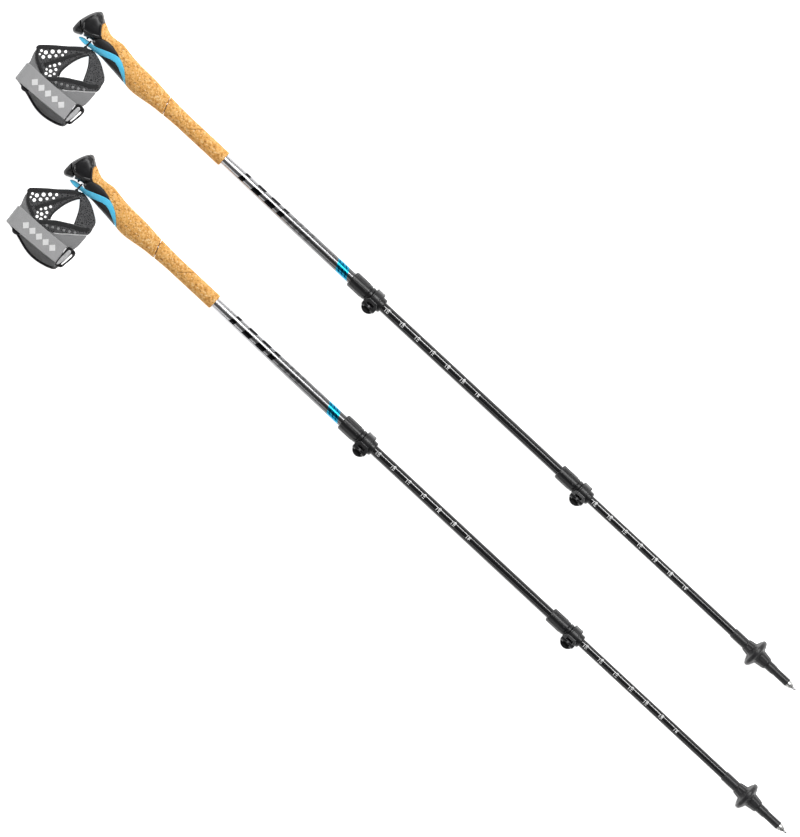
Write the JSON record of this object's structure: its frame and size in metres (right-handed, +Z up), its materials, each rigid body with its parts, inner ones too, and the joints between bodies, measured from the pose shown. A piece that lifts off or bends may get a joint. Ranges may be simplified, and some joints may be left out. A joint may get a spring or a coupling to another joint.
{
  "type": "trekking poles",
  "caption": "Pair of three-section telescoping trekking poles with cork grips, lever locks, release button, glove-like wrist straps, small baskets and flexible tips, lying flat.",
  "frame": {"origin": "centre of the pair's footprint on the floor", "axes": "+X along both poles from grip to tip, -Y towards the straps and the second pole, +Z up"},
  "size_m": [1.3831, 0.2904, 0.039],
  "materials": {
    "head_plastic": "soft black moulded plastic with a fine satin grain",
    "latch_steel": "stamped steel",
    "steel": "bright turned steel",
    "hook_plastic": "light blue moulded plastic, satin",
    "core_plastic": "black moulded plastic, finely grained",
    "cork": "natural cork granules, warm tan with darker and lighter grains",
    "silver_tube": "silver anodised tube that darkens to graphite, with dark printed blocks and a cyan band",
    "black_tube": "gloss black anodised tube with white length marks",
    "lock_plastic": "black glass-filled nylon, ribbed",
    "lever_plastic": "black satin plastic lever",
    "bush_plastic": "dark acetal guide",
    "tip_plastic": "black flexible plastic",
    "basket_plastic": "black polyamide disc",
    "carbide": "sintered carbide",
    "strap_cord": "thin black braided cord",
    "strap_mesh_fabric": "black perforated spacer mesh",
    "band_fabric": "light grey woven webbing",
    "cuff_fabric": "padded black and grey cuff with piping",
    "buckle_plastic": "white and black moulded buckle"
  },
  "bodies": {
    "pole1_frame": {"pole1_head_shell": "head_plastic", "pole1_latch_pin": "steel", "pole1_latch_spring": "steel", "pole1_hook": "hook_plastic", "pole1_grip_core": "core_plastic", "pole1_cork_grip": "cork", "pole1_cork_sleeve": "cork", "pole1_upper_tube": "silver_tube", "pole1_upper_lock_body": "lock_plastic", "pole1_upper_lock_barrel": "steel"},
    "pole1_button": {"pole1_release_button": "head_plastic"},
    "pole1_catch": {"pole1_latch": "latch_steel"},
    "pole1_upper_lever": {"pole1_upper_lock_lever": "lever_plastic"},
    "pole1_upper_adjuster": {"pole1_upper_lock_screw": "steel"},
    "pole1_middle_guide": {"pole1_middle_bush": "bush_plastic"},
    "pole1_middle_section": {"pole1_middle_tube": "black_tube", "pole1_lower_lock_body": "lock_plastic", "pole1_lower_lock_barrel": "steel"},
    "pole1_lower_lever": {"pole1_lower_lock_lever": "lever_plastic"},
    "pole1_lower_adjuster": {"pole1_lower_lock_screw": "steel"},
    "pole1_lower_guide": {"pole1_lower_bush": "bush_plastic"},
    "pole1_lower_section": {"pole1_lower_tube": "black_tube", "pole1_tip_body": "tip_plastic", "pole1_basket": "basket_plastic", "pole1_carbide_tip": "carbide"},
    "pole1_strap": {"pole1_strap_loop": "strap_cord", "pole1_strap_mesh": "strap_mesh_fabric", "pole1_wrist_band": "band_fabric", "pole1_cuff_back": "cuff_fabric", "pole1_strap_buckle": "buckle_plastic"},
    "pole2_frame": {"pole2_head_shell": "head_plastic", "pole2_latch_pin": "steel", "pole2_latch_spring": "steel", "pole2_hook": "hook_plastic", "pole2_grip_core": "core_plastic", "pole2_cork_grip": "cork", "pole2_cork_sleeve": "cork", "pole2_upper_tube": "silver_tube", "pole2_upper_lock_body": "lock_plastic", "pole2_upper_lock_barrel": "steel"},
    "pole2_button": {"pole2_release_button": "head_plastic"},
    "pole2_catch": {"pole2_latch": "latch_steel"},
    "pole2_upper_lever": {"pole2_upper_lock_lever": "lever_plastic"},
    "pole2_upper_adjuster": {"pole2_upper_lock_screw": "steel"},
    "pole2_middle_guide": {"pole2_middle_bush": "bush_plastic"},
    "pole2_middle_section": {"pole2_middle_tube": "black_tube", "pole2_lower_lock_body": "lock_plastic", "pole2_lower_lock_barrel": "steel"},
    "pole2_lower_lever": {"pole2_lower_lock_lever": "lever_plastic"},
    "pole2_lower_adjuster": {"pole2_lower_lock_screw": "steel"},
    "pole2_lower_guide": {"pole2_lower_bush": "bush_plastic"},
    "pole2_lower_section": {"pole2_lower_tube": "black_tube", "pole2_tip_body": "tip_plastic", "pole2_basket": "basket_plastic", "pole2_carbide_tip": "carbide"},
    "pole2_strap": {"pole2_strap_loop": "strap_cord", "pole2_strap_mesh": "strap_mesh_fabric", "pole2_wrist_band": "band_fabric", "pole2_cuff_back": "cuff_fabric", "pole2_strap_buckle": "buckle_plastic"}
  },
  "joints": [
    {"name": "pole1_button_press", "type": "slide", "parent": "pole1_frame", "child": "pole1_button", "axis": [1, 0, 0], "range_m": [0, 0.0015], "stiffness_N_per_m": 400},
    {"name": "pole1_latch_turn", "type": "hinge", "parent": "pole1_frame", "child": "pole1_catch", "pos_m": [-0.64168, 0.11049, 0.0195], "axis": [0, 0, 1], "range_deg": [-15.5, 0]},
    {"name": "pole1_upper_lever_turn", "type": "hinge", "parent": "pole1_frame", "child": "pole1_upper_lever", "pos_m": [-0.15588, 0.10144, 0.0279], "axis": [1, 0, 0], "range_deg": [0, 165]},
    {"name": "pole1_upper_screw_turn", "type": "hinge", "parent": "pole1_frame", "child": "pole1_upper_adjuster", "pos_m": [-0.15588, 0.10144, 0.0195], "axis": [0, 0, 1], "continuous": true},
    {"name": "pole1_middle_slide", "type": "slide", "parent": "pole1_frame", "child": "pole1_middle_guide", "axis": [1, 0, 0], "range_m": [-0.3, 0.05]},
    {"name": "pole1_middle_twist", "type": "hinge", "parent": "pole1_middle_guide", "child": "pole1_middle_section", "pos_m": [-0.31428, 0.11329, 0.0195], "axis": [1, 0, 0], "continuous": true},
    {"name": "pole1_lower_lever_turn", "type": "hinge", "parent": "pole1_middle_section", "child": "pole1_lower_lever", "pos_m": [0.20512, 0.10244, 0.0279], "axis": [1, 0, 0], "range_deg": [0, 165]},
    {"name": "pole1_lower_screw_turn", "type": "hinge", "parent": "pole1_middle_section", "child": "pole1_lower_adjuster", "pos_m": [0.20512, 0.10244, 0.0195], "axis": [0, 0, 1], "continuous": true},
    {"name": "pole1_lower_slide", "type": "slide", "parent": "pole1_middle_section", "child": "pole1_lower_guide", "axis": [1, 0, 0], "range_m": [-0.245, 0.05]},
    {"name": "pole1_lower_twist", "type": "hinge", "parent": "pole1_lower_guide", "child": "pole1_lower_section", "pos_m": [-0.03428, 0.11329, 0.0195], "axis": [1, 0, 0], "continuous": true},
    {"name": "pole1_strap_swing", "type": "hinge", "parent": "pole1_frame", "child": "pole1_strap", "pos_m": [-0.64568, 0.10339, 0.0195], "axis": [-1, 0, 0], "range_deg": [0, 70]},
    {"name": "pole2_button_press", "type": "slide", "parent": "pole2_frame", "child": "pole2_button", "axis": [1, 0, 0], "range_m": [0, 0.0015], "stiffness_N_per_m": 400},
    {"name": "pole2_latch_turn", "type": "hinge", "parent": "pole2_frame", "child": "pole2_catch", "pos_m": [-0.52598, -0.03091, 0.0195], "axis": [0, 0, 1], "range_deg": [-15.5, 0]},
    {"name": "pole2_upper_lever_turn", "type": "hinge", "parent": "pole2_frame", "child": "pole2_upper_lever", "pos_m": [-0.04018, -0.03996, 0.0279], "axis": [1, 0, 0], "range_deg": [0, 165]},
    {"name": "pole2_upper_screw_turn", "type": "hinge", "parent": "pole2_frame", "child": "pole2_upper_adjuster", "pos_m": [-0.04018, -0.03996, 0.0195], "axis": [0, 0, 1], "continuous": true},
    {"name": "pole2_middle_slide", "type": "slide", "parent": "pole2_frame", "child": "pole2_middle_guide", "axis": [1, 0, 0], "range_m": [-0.3, 0.05]},
    {"name": "pole2_middle_twist", "type": "hinge", "parent": "pole2_middle_guide", "child": "pole2_middle_section", "pos_m": [-0.19858, -0.02811, 0.0195], "axis": [1, 0, 0], "continuous": true},
    {"name": "pole2_lower_lever_turn", "type": "hinge", "parent": "pole2_middle_section", "child": "pole2_lower_lever", "pos_m": [0.32082, -0.03896, 0.0279], "axis": [1, 0, 0], "range_deg": [0, 165]},
    {"name": "pole2_lower_screw_turn", "type": "hinge", "parent": "pole2_middle_section", "child": "pole2_lower_adjuster", "pos_m": [0.32082, -0.03896, 0.0195], "axis": [0, 0, 1], "continuous": true},
    {"name": "pole2_lower_slide", "type": "slide", "parent": "pole2_middle_section", "child": "pole2_lower_guide", "axis": [1, 0, 0], "range_m": [-0.245, 0.05]},
    {"name": "pole2_lower_twist", "type": "hinge", "parent": "pole2_lower_guide", "child": "pole2_lower_section", "pos_m": [0.08142, -0.02811, 0.0195], "axis": [1, 0, 0], "continuous": true},
    {"name": "pole2_strap_swing", "type": "hinge", "parent": "pole2_frame", "child": "pole2_strap", "pos_m": [-0.52998, -0.03801, 0.0195], "axis": [-1, 0, 0], "range_deg": [0, 70]},
    {"name": "pair_lift", "type": "slide", "parent": "pole1_frame", "child": "pole2_frame", "axis": [0, 0, 1], "range_m": [0, 0.3]}
  ],
  "couplings": [
    {"joint": "pole1_latch_turn", "follows": "pole1_button_press", "rad_per_m": -174.53},
    {"joint": "pole2_latch_turn", "follows": "pole2_button_press", "rad_per_m": -174.53}
  ]
}
